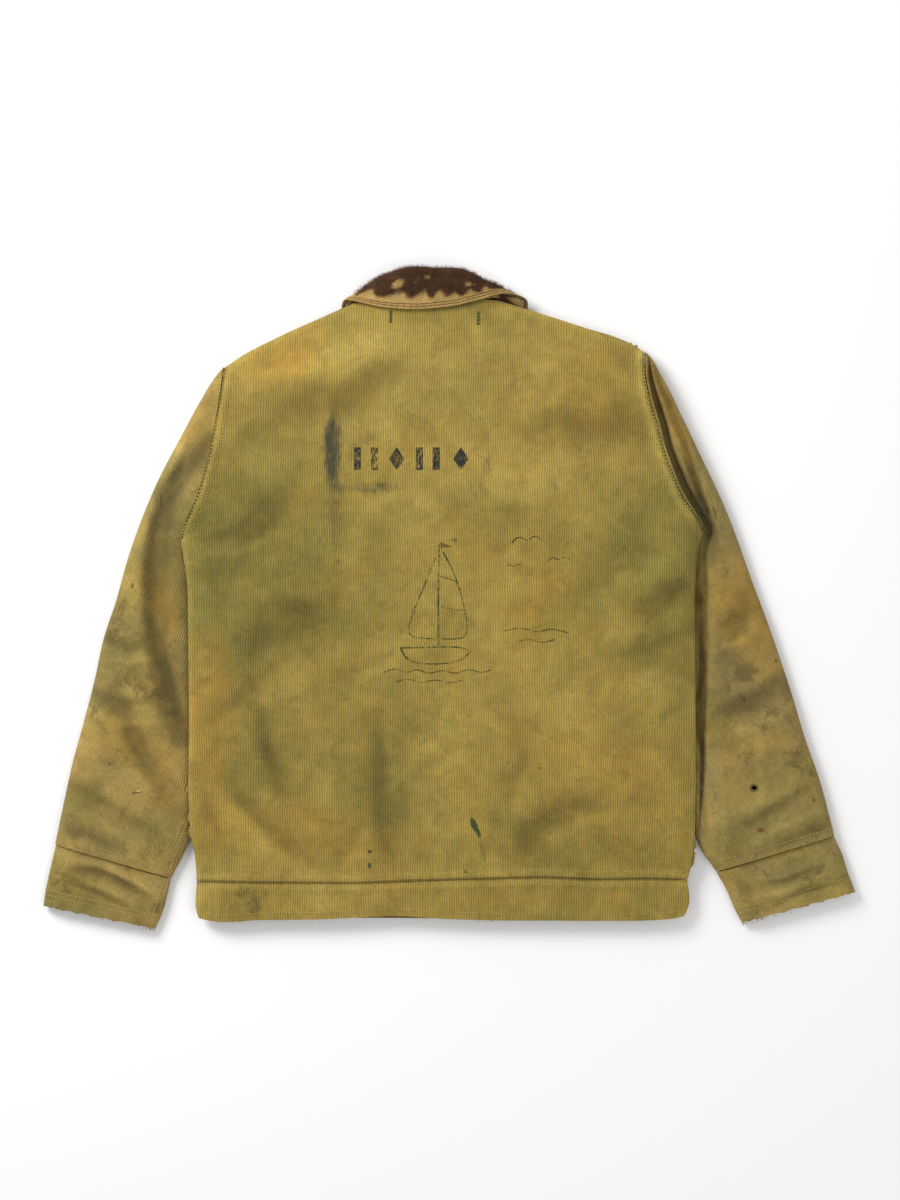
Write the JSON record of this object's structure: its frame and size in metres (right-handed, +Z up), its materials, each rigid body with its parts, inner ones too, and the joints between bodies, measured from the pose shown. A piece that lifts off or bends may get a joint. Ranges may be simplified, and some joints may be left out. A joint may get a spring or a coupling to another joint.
{
  "type": "deck jacket laid flat",
  "caption": "Deck jacket in ribbed cotton, laid flat on its front with the back up: body panels, hem band, tube sleeves with cuffs, and a turned-down pile collar.",
  "frame": {"origin": "centre of the jacket's outline, on the surface that it lies on", "axes": "+X across the back towards the sleeve that is pushed back, +Y from the hem to the collar, +Z up from the surface"},
  "size_m": [0.8678, 0.7055, 0.0311],
  "materials": {
    "shell": "ribbed cotton, worn",
    "sleeve": "ribbed cotton, worn",
    "pile": "matted wool pile",
    "knit": "flat knit",
    "button": "satin"
  },
  "bodies": {
    "root": {"back": "shell", "front_left": "shell", "front_right": "shell", "hem_band_back": "shell", "hem_band_left": "shell", "hem_band_right": "shell", "sleeve_left": "sleeve", "sleeve_right": "sleeve", "cuff_left": "sleeve", "cuff_right": "sleeve", "collar": "pile", "collar_stand": "knit", "collar_binding": "knit", "button_1": "button", "button_2": "button", "button_3": "button", "button_4": "button", "button_5": "button"}
  },
  "joints": []
}
